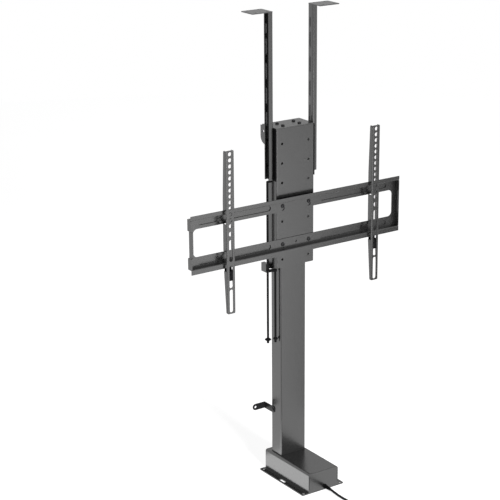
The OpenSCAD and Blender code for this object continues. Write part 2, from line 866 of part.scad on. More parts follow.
groove_x = 76;
groove_rows_z = [lower_bolt_z - 0.5, lower_bolt_z + bolt_rows];

module groove_shapes(r) {
    for (x = sides, z = groove_rows_z)
        translate([x * (groove_x + groove_len / 2), z]) level_slot(groove_len - groove_h + 2 * r, r);
}

// Rounds the long outer bend where a shelf meets its lip, with the sheet above or below z
module lip_bend(z, way) {
    along_x(frame_left - cut, frame_w + 2 * cut) difference() {
        translate([lip_front - cut, way > 0 ? z - cut : z - frame_t]) square(frame_t + cut);
        translate([lip_front + frame_t, z + way * frame_t]) circle(frame_t);
    }
}

module tv_frame() {
    tab_h = rail_web_h + 4;
    back = carriage_front;
    color(steel_black) difference() {
        union() {
            along_y(back, frame_t) frame_web();
            along_y(back + groove_depth, groove_depth + 0.5) groove_shapes(groove_h / 2 + frame_t - 0.5);
            block_from([frame_left, lip_front, upper_shelf_z], [frame_right, back, upper_shelf_z + frame_t]);
            block_from([frame_left, lip_front, upper_shelf_z], [frame_right, lip_front + frame_t, frame_top]);
            block_from([frame_left, lip_front, lower_shelf_top - frame_t],
                [frame_right, back, lower_shelf_top]);
            block_from([frame_left, lip_front, frame_bottom],
                [frame_right, lip_front + frame_t, lower_shelf_top]);
            block_from([frame_right - frame_t, lip_front, lower_shelf_top - frame_t],
                [frame_right, back, upper_shelf_z + frame_t]);
            for (z = [lower_shelf_top - frame_t, upper_shelf_z + frame_t - tab_h])
                block_from([frame_left, lip_front, z], [frame_left + frame_t, back, z + tab_h]);
            block_from([frame_left + end_step, lip_front, window_z0 + 3],
                [frame_left + end_step + frame_t, back, window_z1 - 3]);
        }
        along_y(web_front + groove_depth, groove_depth + 1) groove_shapes(groove_h / 2);
        lip_bend(upper_shelf_z, 1);
        lip_bend(lower_shelf_top, -1);
    }
}

module frame_bolt_places() {
    for (x = sides, z = bolt_rows_z)
        translate([x * plate_hole_w / 2, 0, z]) children();
}

// Button head screws with a hexagon socket; washers and nuts sit inside the carriage
module frame_bolts() {
    shank = carriage_in_y + washer_t + frame_nut_h - web_front;
    color(zinc) frame_bolt_places() difference() {
        union() {
            pin_y(web_front + shank, shank + 0.5, 0, 0, bolt_r);
            translate([0, web_front, 0]) rotate([90, 0, 0]) rotate_extrude()
                polygon([[0, 0], [bolt_head_r, 0], [bolt_head_r, 0.25 * bolt_head_h],
                    [0.86 * bolt_head_r, 0.65 * bolt_head_h], [0.55 * bolt_head_r, bolt_head_h],
                    [0, bolt_head_h]]);
        }
        translate([0, web_front - bolt_head_h + 1.8, 0]) rotate([90, 0, 0])
            cylinder(h = 1.8 + cut, r = bolt_hex_r, $fn = 6);
    }
}

module frame_washers() {
    color(zinc) frame_bolt_places() difference() {
        pin_y(carriage_in_y + washer_t, washer_t, 0, 0, washer_r);
        pin_y(carriage_in_y + washer_t + cut, washer_t + 2 * cut, 0, 0, bolt_r + fit);
    }
}

module frame_nuts() {
    back = carriage_in_y + washer_t + frame_nut_h;
    color(zinc) frame_bolt_places() difference() {
        translate([0, back, 0]) rotate([90, 0, 0])
            cylinder(h = frame_nut_h, r = frame_nut_r / cos(30), $fn = 6);
        pin_y(back + cut, frame_nut_h + 2 * cut, 0, 0, bolt_r + fit);
    }
}

// Television arms

arm_in_back = arm_front + arm_depth;
notch_gap = 0.1;
hook_front = lip_front + frame_t + seat_gap;
notch_room = 23.5;
lip_room = 7.1;
upper_notch = [upper_shelf_z - notch_room, frame_top + notch_gap];
lower_notch = [frame_bottom - lip_room, lower_shelf_top + notch_room + lip_room];

// Side view of an arm: its flanges are cut away where the frame's rails pass, and a tooth drops
// behind the lip
module arm_side() {
    polygon([[arm_front, arm_bottom], [arm_front + 5, arm_bottom], [arm_front + 13.5, lower_notch[0]],
        [arm_back, lower_notch[0]], [arm_back, lower_notch[1]], [arm_in_back, lower_notch[1]],
        [arm_in_back, upper_notch[0]], [arm_back, upper_notch[0]], [arm_back, upper_notch[1]],
        [hook_front, upper_notch[1]], [hook_front, upper_notch[1] - 7.5],
        [arm_in_back, upper_notch[1] - 7.5], [arm_in_back, upper_notch[1] + 25],
        [arm_front + 10.5, arm_top], [arm_front, arm_top]]);
}

module arm_plan() {
    r = 2.5;
    difference() {
        union() {
            translate([-arm_w / 2, arm_front + r]) square([arm_w, arm_depth - r]);
            translate([-arm_w / 2 + r, arm_front]) square([arm_w - 2 * r, arm_depth]);
            for (x = sides)
                translate([x * (arm_w / 2 - r), arm_front + r]) circle(r);
        }
        translate([-arm_w / 2 + arm_t, arm_back]) square([arm_w - 2 * arm_t, arm_depth]);
    }
}

// Each slot's upper and lower end, as drops below the highest screw hole
arm_slots = [[194.2, 206.2], [215.2, 271.2], [281.2, 339.2], [343.2, 402.6]];

module arm_face() {
    difference() {
        translate([0, (arm_bottom + arm_top) / 2]) rounded_rect(arm_w, arm_top - arm_bottom, 4);
        for (hole = [0 : arm_holes - 1])
            translate([0, arm_hole_top - hole * arm_hole_pitch]) circle(arm_hole_r);
        for (slot = arm_slots)
            upright_slot(0, arm_hole_top - slot[1], arm_hole_top - slot[0], arm_hole_r);
    }
}

module arm(x) {
    color(steel_black) translate([x, 0, 0]) intersection() {
        along_z(arm_bottom, arm_top - arm_bottom) arm_plan();
        along_x(-arm_w / 2, arm_w) arm_side();
        along_y(arm_in_back, arm_depth) arm_face();
    }
}

module arm_left() {
    arm(-arm_left_x);
}

module arm_right() {
    arm(arm_right_x);
}

// A latch slides behind an arm's web, and its tip stands behind the frame's lower lip
latch_t = 2.4;
latch_body = 22;
latch_tip = frame_bottom + 6.7;
latch_shelf = frame_bottom - 10.3;
latch_bottom = latch_shelf - latch_body;
latch_pin_rise = 13;

module latch(x) {
    front = arm_back + seat_gap;
    back = hook_front + 0.2 + latch_t;
    width = arm_w - 2 * arm_t - 0.6;
    color(plastic_black) translate([x, 0, 0]) {
        along_x(-width / 2, width) polygon([[front, latch_bottom], [front + latch_t, latch_bottom],
            [front + latch_t, latch_shelf], [back, latch_shelf], [back, latch_tip],
            [back - latch_t, latch_tip], [back - latch_t, latch_shelf + latch_t],
            [front, latch_shelf + latch_t]]);
        pin_y(front + 0.5, front - arm_back + 1.5, 0, latch_bottom + latch_pin_rise, arm_hole_r - 0.5);
    }
}

module latch_left() {
    latch(-arm_left_x);
}

module latch_right() {
    latch(arm_right_x);
}

// Lid brackets: one part, used twice, turned round for the left side

module channel_plan() {
    difference() {
        union() {
            translate([lid_bend_r, -lid_channel_w / 2]) square([lid_channel_d - lid_bend_r, lid_channel_w]);
            translate([0, -lid_channel_w / 2 + lid_bend_r])
                square([lid_channel_d, lid_channel_w - 2 * lid_bend_r]);
            for (y = sides)
                translate([lid_bend_r, y * (lid_channel_w / 2 - lid_bend_r)]) circle(lid_bend_r);
        }
        translate([lid_t, -lid_channel_w / 2 + lid_t]) square([lid_channel_d, lid_channel_w - 2 * lid_t]);
    }
}

module lid_bracket(top, foot) {
    bottom = lid_screw_z[0] - foot;
    slots_z = [bottom + lid_first_slot_rise : lid_slot_pitch : top - lid_last_slot_drop + 0.01];
    color(steel_black) translate([lid_inner, 0, 0]) difference() {
        union() {
            along_z(bottom, top - bottom - lid_t / 2) channel_plan();
            along_z(top - lid_t, lid_t)
                translate([lid_plate_w / 2, lid_channel_w / 2 - lid_plate_d / 2])
                    rounded_rect(lid_plate_w, lid_plate_d, 3);
        }
        along_x(-cut, lid_t + 2 * cut) {
            for (z = slots_z)
                upright_slot(0, z - lid_slot_len / 2, z + lid_slot_len / 2, lid_slot_w / 2);
            upright_slot(0, top - lid_short_slot_drop - lid_short_slot_len / 2,
                top - lid_short_slot_drop + lid_short_slot_len / 2, lid_slot_w / 2);
        }
        for (x = sides, y = sides)
            translate([lid_plate_w / 2 + x * lid_hole_w / 2,
                lid_channel_w / 2 - lid_plate_d / 2 + y * lid_hole_d / 2,
                top - lid_t - cut]) cylinder(h = lid_t + 2 * cut, r = 2.5);
    }
}

lid_hole_w = 32;
lid_hole_d = 38;

module lid_bracket_left() {
    translate([0, lid_y, 0]) rotate([0, 0, 180]) lid_bracket(lid_left_top, lid_left_foot);
}

module lid_bracket_right() {
    translate([0, lid_y, 0]) lid_bracket(lid_right_top, lid_right_foot);
}

module bracket_screw_places() {
    for (z = lid_screw_z) {
        translate([0, lid_y, z]) children();
        translate([0, lid_y, z]) rotate([0, 0, 180]) children();
    }
}

lid_washer_x = lid_inner + lid_t + slide_gap;

module bracket_screws() {
    color(zinc) bracket_screw_places() difference() {
        union() {
            pin_x(lid_washer_x + lid_washer_t, lid_head_h, 0, 0, lid_head_r);
            pin_x(carriage_w / 2 - carriage_t - lid_nut_h, lid_washer_x + lid_washer_t + 0.5
                - carriage_w / 2 + carriage_t + lid_nut_h, 0, 0, lid_screw_r);
        }
        translate([lid_washer_x + lid_washer_t + 1.5, 0, 0]) rotate([0, 90, 0])
            cylinder(h = lid_head_h, r = 2.6, $fn = 6);
    }
}

module bracket_washers() {
    color(zinc) bracket_screw_places() difference() {
        pin_x(lid_washer_x, lid_washer_t, 0, 0, lid_washer_r);
        pin_x(lid_washer_x - cut, lid_washer_t + 2 * cut, 0, 0, lid_screw_r + fit);
    }
}

module bracket_nuts() {
    color(zinc) bracket_screw_places() difference() {
        translate([carriage_w / 2 - carriage_t - lid_nut_h, 0, 0]) rotate([0, 90, 0])
            cylinder(h = lid_nut_h, r = 5 / cos(30), $fn = 6);
        pin_x(carriage_w / 2 - carriage_t - lid_nut_h - cut, lid_nut_h + 2 * cut, 0, 0, lid_screw_r + fit);
    }
}

// Hanging rods at the carriage's left side

module rod_block() {
    color(plastic_black) block_from([-68, block_front, block_z[0]],
        [-carriage_w / 2, block_front + 22, block_z[1]]);
}

module rod_link() {
    way = rod_short_at - rod_long_at;
    color(plastic_black) along_z(link_z0, link_h) difference() {
        union() {
            translate(rod_long_at) rotate(atan2(way[1], way[0])) translate([0, -4]) square([norm(way), 8]);
            for (place = [rod_long_at, rod_short_at])
                translate(place) circle(4.5);
            translate([rod_long_at[0] - 1.5, rod_long_at[1]]) square([6, block_front - rod_long_at[1]]);
        }
        for (place = [rod_long_at, rod_short_at])
            translate(place) circle(rod_r + fit);
    }
}

module rod_long() {
    color(steel_grey) {
        translate([rod_long_at[0], rod_long_at[1], rod_knob_z])
            cylinder(h = rod_hook_z - rod_knob_z, r = rod_r);
        translate([rod_long_at[0], rod_long_at[1], rod_hook_z]) sphere(rod_r);
        pin_x(rod_long_at[0], -rod_long_at[0] - carriage_w / 2 + carriage_t + 2, rod_long_at[1], rod_hook_z,
            rod_r);
    }
}

module rod_short() {
    color(steel_grey) translate([rod_short_at[0], rod_short_at[1], rod_knob_z])
        cylinder(h = link_z0 + link_h + 2 - rod_knob_z, r = rod_r);
}

// A knob like two cones base to base, with a ball below
module rod_knob(r) {
    difference() {
        union() {
            rotate_extrude() polygon([[0, -6], [2.6, -5], [r, 0], [2.8, 5], [0, 5]]);
            translate([0, 0, -7.5]) sphere(3.4);
        }
        cylinder(h = 6, r = rod_r + fit);
    }
}

module rod_knobs() {
    color(plastic_black) {
        translate([rod_long_at[0], rod_long_at[1], rod_knob_z]) rod_knob(knob_long_r);
        translate([rod_short_at[0], rod_short_at[1], rod_knob_z]) rod_knob(knob_short_r);
    }
}

// Wall straps

rivet_r = 2.4;
strap_rivet_y = 14.5;
strap_front = 7.7;
strap_hole_r = 3.5;
strap_hole_inset = 8.5;

module strap() {
    reach = wall_y - strap_front;
    color(plastic_black) difference() {
        union() {
            along_x(col_w / 2, strap_t) {
                translate([strap_front + 4, strap_z - strap_h / 2]) square([reach - 4, strap_h]);
                translate([strap_front + reach / 2, strap_z]) rounded_rect(reach, strap_h, 4);
            }
            along_y(wall_y, strap_t) {
                translate([col_w / 2, strap_z - strap_h / 2]) square([strap_wall_len - strap_h / 2, strap_h]);
                translate([col_w / 2 + strap_wall_len - strap_h / 2, strap_z]) circle(strap_h / 2);
            }
        }
        pin_x(col_w / 2 - cut, strap_t + 2 * cut, strap_rivet_y, strap_z, rivet_r + fit);
        pin_y(wall_y + cut, strap_t + 2 * cut, col_w / 2 + strap_wall_len - strap_hole_inset, strap_z,
            strap_hole_r);
    }
}

module wall_strap_right() {
    strap();
}

module wall_strap_left() {
    mirror([1, 0, 0]) strap();
}

module strap_rivets() {
    color(zinc) for (away = [[0, 0, 0], [1, 0, 0]])
        mirror(away) {
            pin_x(col_w / 2 - col_t, col_t + strap_t + 1, strap_rivet_y, strap_z, rivet_r);
            pin_x(col_w / 2 + strap_t, 2, strap_rivet_y, strap_z, rivet_r + 2.2);
        }
}

base_plate();
base_cover();
cover_screws();
power_supply();
control_board();
cord_gland();
mains_cord();
cord_coil();
mains_plug();
outer_tube();
column_foot();
foot_bolts();
motor_housing();
gearbox();
motor_mounts();
thrust_bearing();
upper_glides();
wall_strap_left();
wall_strap_right();
strap_rivets();
inner_tube();
spindle_nut();
lower_glides();
tube_end_block();
top_cap();
cap_screws();
carriage_shell();
side_pad_left();
side_pad_right();
tv_frame();
frame_bolts();
frame_washers();
frame_nuts();
rod_block();
rod_link();
rod_long();
rod_short();
rod_knobs();
bracket_screws();
bracket_washers();
bracket_nuts();
lead_screw();
spindle_collar();
arm_left();
arm_right();
latch_left();
latch_right();
lid_bracket_left();
lid_bracket_right();
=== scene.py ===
import json
import math
import bpy
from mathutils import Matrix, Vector

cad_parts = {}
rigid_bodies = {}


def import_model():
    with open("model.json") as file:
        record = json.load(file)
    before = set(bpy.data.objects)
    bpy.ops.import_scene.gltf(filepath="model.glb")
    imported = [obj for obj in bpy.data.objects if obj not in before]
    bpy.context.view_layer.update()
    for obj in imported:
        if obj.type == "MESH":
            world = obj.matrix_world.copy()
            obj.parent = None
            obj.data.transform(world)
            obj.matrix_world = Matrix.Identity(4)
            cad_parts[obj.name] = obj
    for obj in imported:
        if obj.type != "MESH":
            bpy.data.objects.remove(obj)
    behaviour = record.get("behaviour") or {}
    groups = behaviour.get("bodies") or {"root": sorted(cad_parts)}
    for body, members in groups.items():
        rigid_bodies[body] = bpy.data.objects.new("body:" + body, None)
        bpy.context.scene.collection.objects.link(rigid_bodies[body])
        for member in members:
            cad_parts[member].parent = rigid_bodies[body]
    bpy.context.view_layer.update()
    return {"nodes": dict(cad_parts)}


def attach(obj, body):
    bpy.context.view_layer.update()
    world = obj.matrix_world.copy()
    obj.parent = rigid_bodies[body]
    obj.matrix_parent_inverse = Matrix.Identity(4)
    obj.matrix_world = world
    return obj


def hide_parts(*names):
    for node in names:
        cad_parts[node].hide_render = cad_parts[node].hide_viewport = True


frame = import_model()
cad = frame["nodes"]
scene = bpy.context.scene

# Camera
# The photograph was taken from the left of the television side, a little above the lift's middle.
# The camera stands about four metres away and looks down by 18 degrees, with a long lens.
camera_place = Vector((-2.3231, -3.2816, 1.9110))
camera_aim = Vector((0.0, -0.022, 0.6164))
camera_lens = 119.5
camera_shift = -0.0866
sensor_width = 36.0
view_reach = 60.0
camera_data = bpy.data.cameras.new("camera")
camera_data.lens = camera_lens
camera_data.sensor_width = sensor_width
camera_data.shift_x = camera_shift
camera_data.clip_end = view_reach
camera = bpy.data.objects.new("camera", camera_data)
camera.location = camera_place
camera.rotation_euler = (camera_aim - camera_place).to_track_quat("-Z", "Y").to_euler()
scene.collection.objects.link(camera)
scene.camera = camera


# Surface grain
# Every finish on the lift has a fine grain in its gloss and relief, and a slow change of shade over the
# piece. One node group makes both, and each material gives it its own scale, depth and amount.
grain_detail = 3.0
cloud_scale = 11.0
cloud_detail = 4.0
cloud_middle = 0.5


def make_grain_group():
    group = bpy.data.node_groups.new("surface grain", "ShaderNodeTree")
    face = group.interface
    for name, kind in (("Color", "NodeSocketColor"), ("Roughness", "NodeSocketFloat"),
                       ("Grain Scale", "NodeSocketFloat"), ("Grain Depth", "NodeSocketFloat"),
                       ("Shade Change", "NodeSocketFloat")):
        face.new_socket(name, in_out="INPUT", socket_type=kind)
    face.new_socket("Color", in_out="OUTPUT", socket_type="NodeSocketColor")
    face.new_socket("Roughness", in_out="OUTPUT", socket_type="NodeSocketFloat")
    face.new_socket("Normal", in_out="OUTPUT", socket_type="NodeSocketVector")
    node, link = group.nodes.new, group.links.new
    given = node("NodeGroupInput")
    result = node("NodeGroupOutput")
    place = node("ShaderNodeTexCoord")
    grain = node("ShaderNodeTexNoise")
    grain.inputs["Detail"].default_value = grain_detail
    link(place.outputs["Object"], grain.inputs["Vector"])
    link(given.outputs["Grain Scale"], grain.inputs["Scale"])
    relief = node("ShaderNodeBump")
    relief.inputs["Strength"].default_value = 1.0
    link(grain.outputs["Fac"], relief.inputs["Height"])
    link(given.outputs["Grain Depth"], relief.inputs["Distance"])
    link(relief.outputs["Normal"], result.inputs["Normal"])
    cloud = node("ShaderNodeTexNoise")
    cloud.inputs["Scale"].default_value = cloud_scale
    cloud.inputs["Detail"].default_value = cloud_detail
    link(place.outputs["Object"], cloud.inputs["Vector"])
    swing = node("ShaderNodeMath")
    swing.operation = "SUBTRACT"
    swing.inputs[1].default_value = cloud_middle
    link(cloud.outputs["Fac"], swing.inputs[0])
    amount = node("ShaderNodeMath")
    amount.operation = "MULTIPLY"
    link(swing.outputs[0], amount.inputs[0])
    link(given.outputs["Shade Change"], amount.inputs[1])
    factor = node("ShaderNodeMath")
    factor.operation = "ADD"
    factor.inputs[1].default_value = 1.0
    link(amount.outputs[0], factor.inputs[0])
    shade = node("ShaderNodeVectorMath")
    shade.operation = "SCALE"
    link(given.outputs["Color"], shade.inputs[0])
    link(factor.outputs[0], shade.inputs["Scale"])
    link(shade.outputs["Vector"], result.inputs["Color"])
    gloss = node("ShaderNodeMath")
    gloss.operation = "MULTIPLY"
    link(given.outputs["Roughness"], gloss.inputs[0])
    link(factor.outputs[0], gloss.inputs[1])
    link(gloss.outputs[0], result.inputs["Roughness"])
    return group


grain_group = make_grain_group()


def finish_material(name, colour, roughness, grain_scale, grain_depth, shade_change, metallic=0.0,
                    specular=0.5):
    material = bpy.data.materials.new(name)
    material.use_nodes = True
    tree = material.node_tree
    shader = tree.nodes["Principled BSDF"]
    shader.inputs["Metallic"].default_value = metallic
    shader.inputs["Specular IOR Level"].default_value = specular
    grain = tree.nodes.new("ShaderNodeGroup")
    grain.node_tree = grain_group
    grain.inputs["Color"].default_value = (*colour, 1.0)
    grain.inputs["Roughness"].default_value = roughness
    grain.inputs["Grain Scale"].default_value = grain_scale
    grain.inputs["Grain Depth"].default_value = grain_depth
    grain.inputs["Shade Change"].default_value = shade_change
    tree.links.new(grain.outputs["Color"], shader.inputs["Base Color"])
    tree.links.new(grain.outputs["Roughness"], shader.inputs["Roughness"])
    tree.links.new(grain.outputs["Normal"], shader.inputs["Normal"])
    return material


def paint(thing, material):
    thing.data.materials.clear()
    thing.data.materials.append(material)


# Mains cord
# A round black rubber lead, 6.5 mm thick and 1.7 m long, leaves the cover's front, falls to the floor and
# runs forward, out of the photograph. The rest is wound into a flat round coil just past that edge.
cord_diameter = 0.0065
cord_route = [(0.005, -0.1805, 0.009), (0.005, -0.196, 0.0075), (0.006, -0.215, 0.005),
              (0.008, -0.240, 0.0035), (0.011, -0.290, 0.0033), (0.012, -0.340, 0.0033),
              (0.012, -0.3935, 0.0033)]
coil_middle = Vector((0.0608, -0.400, 0.0033))
coil_pitch = 0.0071
coil_layer = 0.007
coil_inner = 0.0275
coil_turns = 3
coil_end = 0.024
route_steps = 6
turn_steps = 36
layer_step_from = 0.5
layer_step_speed = 2


def smooth_route(points, steps):
    points = [Vector(p) for p in points]
    line = []
    for i in range(len(points) - 1):
        a, b = points[max(i - 1, 0)], points[i]
        c, d = points[i + 1], points[min(i + 2, len(points) - 1)]
        for step in range(steps):
            t = step / steps
            line.append(0.5 * (2 * b + (c - a) * t + (2 * a - 5 * b + 4 * c - d) * t * t
                               + (3 * b - a - 3 * c + d) * t ** 3))
    line.append(points[-1])
    return line


def coil_point(turn):
    radius = coil_inner + coil_pitch * abs(turn - coil_turns)
    rise = coil_layer * min(1.0, max(0.0, (turn - coil_turns) * layer_step_speed + layer_step_from))
    angle = math.pi + 2 * math.pi * turn
    return coil_middle + Vector((radius * math.cos(angle), radius * math.sin(angle), rise))


cord_line = smooth_route(cord_route, route_steps)
cord_line += [coil_point(i / turn_steps) for i in range(2 * coil_turns * turn_steps + 1)]
plug_start = coil_point(2 * coil_turns) - Vector((0.0, coil_end, 0.0))
cord_line.append(plug_start)

cord_curve = bpy.data.curves.new("mains_lead", "CURVE")
cord_curve.dimensions = "3D"
cord_curve.bevel_depth = cord_diameter / 2
cord_curve.bevel_resolution = 4
cord_curve.use_fill_caps = True
cord_spline = cord_curve.splines.new("POLY")
cord_spline.points.add(len(cord_line) - 1)
for point, place in zip(cord_spline.points, cord_line):
    point.co = (*place, 1.0)
mains_lead = bpy.data.objects.new("mains_lead", cord_curve)
scene.collection.objects.link(mains_lead)
sheath = finish_material("cord sheath", (0.010, 0.010, 0.0105), roughness=0.5,
                         grain_scale=900.0, grain_depth=0.00004, shade_change=0.25, specular=0.2)
paint(mains_lead, sheath)
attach(mains_lead, "base")
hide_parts("mains_cord", "cord_coil")


# Plug
# A moulded rubber plug with a ribbed tail, a grip with finger grooves, two flat nickel blades and a round
# earth pin. It lies on the floor beside the coil.
plug_size = Vector((0.027, 0.024, 0.020))
plug_corner = 0.006
plug_rim = 0.0018
plug_body_from = 0.019
plug_tail = [(0.0, 0.0036), (0.0004, 0.0039), (0.0020, 0.0041), (0.0022, 0.0034), (0.0034, 0.0034),
             (0.0036, 0.0044), (0.0054, 0.0045), (0.0056, 0.0036), (0.0068, 0.0036), (0.0070, 0.0047),
             (0.0090, 0.0048), (0.0092, 0.0038), (0.0104, 0.0039), (0.0106, 0.0050), (0.0128, 0.0051),
             (0.0130, 0.0041), (0.0142, 0.0042), (0.0144, 0.0052), (0.0172, 0.0055), (0.0215, 0.0060)]
plug_groove_at = [0.0255, 0.0295, 0.0335]
plug_groove_width = 0.0018
plug_groove_depth = 0.0007
blade_size = Vector((0.0015, 0.0165, 0.0063))
blade_across = 0.00635
blade_rise = 0.00465
blade_tip = 0.0006
pin_drop = 0.0066
pin_seat = 0.0005
smooth_under = math.radians(35)
least_run = 0.001
mostly = 0.5
pin_rings = [(0.0, 0.0024), (0.0168, 0.0024), (0.0181, 0.0020), (0.0187, 0.0012), (0.0190, 0.0004)]


def deselect_all():
    if bpy.context.object and bpy.context.object.mode != "OBJECT":
        bpy.ops.object.mode_set(mode="OBJECT")
    bpy.ops.object.select_all(action="DESELECT")


def turned(name, rings, spot, toward=(0.0, 0.0, 1.0), sides=40):
    deselect_all()
    bpy.ops.mesh.primitive_circle_add(vertices=sides, radius=rings[0][1], fill_type="NGON",
                                      location=(0.0, 0.0, 0.0))
    piece = bpy.context.object
    piece.name = name
    bpy.ops.object.mode_set(mode="EDIT")
    bpy.ops.mesh.select_all(action="SELECT")
    bpy.ops.transform.translate(value=(0.0, 0.0, rings[0][0]))
    for (low, narrow), (high, wide) in zip(rings, rings[1:]):
        bpy.ops.mesh.extrude_region_move(TRANSFORM_OT_translate={"value": (0.0, 0.0, high - low)})
        bpy.ops.transform.resize(value=(wide / narrow, wide / narrow, 1.0), center_override=(0.0, 0.0, high))
    bpy.ops.mesh.select_all(action="SELECT")
    bpy.ops.mesh.normals_make_consistent(inside=False)
    bpy.ops.object.mode_set(mode="OBJECT")
    piece.location = spot
    piece.rotation_euler = Vector(toward).to_track_quat("Z", "Y").to_euler()
    bpy.ops.object.transform_apply(location=True, rotation=True, scale=True)
    bpy.ops.object.shade_smooth_by_angle(angle=smooth_under)
    return piece


def select_where(piece, test):
    bpy.ops.object.mode_set(mode="EDIT")
    bpy.ops.mesh.select_mode(type="FACE")
    bpy.ops.mesh.select_all(action="DESELECT")
    bpy.ops.object.mode_set(mode="OBJECT")
    for face in piece.data.polygons:
        face.select = test(face)
    bpy.ops.object.mode_set(mode="EDIT")


def select_edges_where(piece, test):
    bpy.ops.object.mode_set(mode="EDIT")
    bpy.ops.mesh.select_mode(type="EDGE")
    bpy.ops.mesh.select_all(action="DESELECT")
    bpy.ops.object.mode_set(mode="OBJECT")
    corners = piece.data.vertices
    for edge in piece.data.edges:
        a, b = (corners[i].co for i in edge.vertices)
        edge.select = test(a, b)
    bpy.ops.object.mode_set(mode="EDIT")


def block(name, low, high):
    low, high = Vector(low), Vector(high)
    deselect_all()
    bpy.ops.mesh.primitive_cube_add(size=1.0, location=(low + high) / 2)
    piece = bpy.context.object
    piece.name = name
    piece.scale = high - low
    bpy.ops.object.transform_apply(location=True, rotation=True, scale=True)
    return piece


def join_all(pieces, name):
    deselect_all()
    for piece in pieces:
        piece.select_set(True)
    bpy.context.view_layer.objects.active = pieces[0]
    bpy.ops.object.join()
    pieces[0].name = name
    return pieces[0]


def runs_front_to_back(a, b):
    return abs(a.y - b.y) > least_run


def looks_forward_or_back(face):
    return abs(face.normal.y) > mostly


def plug_grip():
    front = plug_start.y - plug_body_from
    low = (plug_start.x - plug_size.x / 2, front - plug_size.y, plug_start.z - plug_size.z / 2)
    high = (plug_start.x + plug_size.x / 2, front, plug_start.z + plug_size.z / 2)
    grip = block("plug_grip", low, high)
    select_edges_where(grip, runs_front_to_back)
    bpy.ops.mesh.bevel(offset=plug_corner, segments=6, affect="EDGES")
    select_edges_where(grip, lambda a, b: not runs_front_to_back(a, b))
    bpy.ops.mesh.bevel(offset=plug_rim, segments=3, affect="EDGES")
    for place in plug_groove_at:
        for edge in (place, place + plug_groove_width):
            bpy.ops.mesh.select_all(action="SELECT")
            bpy.ops.mesh.bisect(plane_co=(0.0, plug_start.y - edge, 0.0), plane_no=(0.0, 1.0, 0.0))
    for place in plug_groove_at:
        middle = plug_start.y - place - plug_groove_width / 2
        select_where(grip, lambda face: abs(face.center.y - middle) < plug_groove_width / 3
                     and not looks_forward_or_back(face))
        bpy.ops.mesh.extrude_region_shrink_fatten(TRANSFORM_OT_shrink_fatten={"value": -plug_groove_depth})
    bpy.ops.object.mode_set(mode="OBJECT")
    return grip


def plug_blade(across):
    root = plug_start.y - plug_body_from - plug_size.y
    middle = plug_start.z + blade_rise
    low = (plug_start.x + across - blade_size.x / 2, root - blade_size.y, middle - blade_size.z / 2)
    high = (plug_start.x + across + blade_size.x / 2, root + plug_rim, middle + blade_size.z / 2)
    blade = block("plug_blade", low, high)
    select_edges_where(blade, lambda a, b: max(a.y, b.y) < root - blade_size.y / 2)
    bpy.ops.mesh.bevel(offset=blade_tip, segments=2, affect="EDGES")
    bpy.ops.object.mode_set(mode="OBJECT")
    return blade


toward_front = (0.0, -1.0, 0.0)
plug_moulding = join_all([plug_grip(), turned("plug_tail", plug_tail, plug_start, toward_front)],
                         "plug_moulding")
bpy.ops.object.shade_smooth_by_angle(angle=smooth_under)
pin_start = plug_start - Vector((0.0, plug_body_from + plug_size.y - pin_seat, pin_drop))
plug_pins = join_all([plug_blade(blade_across), plug_blade(-blade_across),
                      turned("earth_pin", pin_rings, pin_start, toward_front)], "plug_pins")
plug_rubber = finish_material("plug rubber", (0.009, 0.009, 0.0095), roughness=0.55,
                              grain_scale=1200.0, grain_depth=0.00005, shade_change=0.2, specular=0.2)
nickel = finish_material("nickel plate", (0.55, 0.54, 0.52), roughness=0.25,
                         grain_scale=600.0, grain_depth=0.00002, shade_change=0.15, metallic=1.0)
paint(plug_moulding, plug_rubber)
paint(plug_pins, nickel)
for piece, slot in ((plug_moulding, "cord_rubber"), (plug_pins, "zinc_steel")):
    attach(piece, "base")
    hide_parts("mains_plug")


# Coil tie
# The coil is held by a black woven hook-and-loop strap, 10 mm wide. It goes round all the turns at one
# place and is lapped over itself on top of them.
tie_width = 0.010
tie_thickness = 0.0007
tie_low = Vector((0.0881, coil_middle.y - tie_width / 2, 0.0))
tie_high = Vector((0.1098, coil_middle.y + tie_width / 2, 0.0142))
tie_corner = 0.0032
lap_length = 0.012
lap_thickness = 0.0012
lap_rim = 0.0005


def strap_loop():
    loop = block("coil_tie", tie_low, tie_high)
    select_where(loop, looks_forward_or_back)
    bpy.ops.mesh.delete(type="FACE")
    select_edges_where(loop, runs_front_to_back)
    bpy.ops.mesh.bevel(offset=tie_corner, segments=4, affect="EDGES")
    bpy.ops.object.mode_set(mode="OBJECT")
    wall = loop.modifiers.new("strap thickness", "SOLIDIFY")
    wall.thickness = tie_thickness
    wall.offset = -1.0
    bpy.ops.object.modifier_apply(modifier=wall.name)
    return loop


def strap_lap():
    middle = (tie_low.x + tie_high.x) / 2
    lap = block("strap_lap", (middle - lap_length / 2, tie_low.y, tie_high.z - tie_thickness / 2),
                (middle + lap_length / 2, tie_high.y, tie_high.z + lap_thickness))
    select_edges_where(lap, lambda a, b: min(a.z, b.z) > tie_high.z)
    bpy.ops.mesh.bevel(offset=lap_rim, segments=2, affect="EDGES")
    bpy.ops.object.mode_set(mode="OBJECT")
    return lap


coil_tie = join_all([strap_loop(), strap_lap()], "coil_tie")
bpy.ops.object.shade_smooth_by_angle(angle=smooth_under)
woven_strap = finish_material("woven strap", (0.014, 0.014, 0.015), roughness=0.85,
                              grain_scale=1400.0, grain_depth=0.0002, shade_change=0.3, specular=0.1)
paint(coil_tie, woven_strap)
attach(coil_tie, "base")


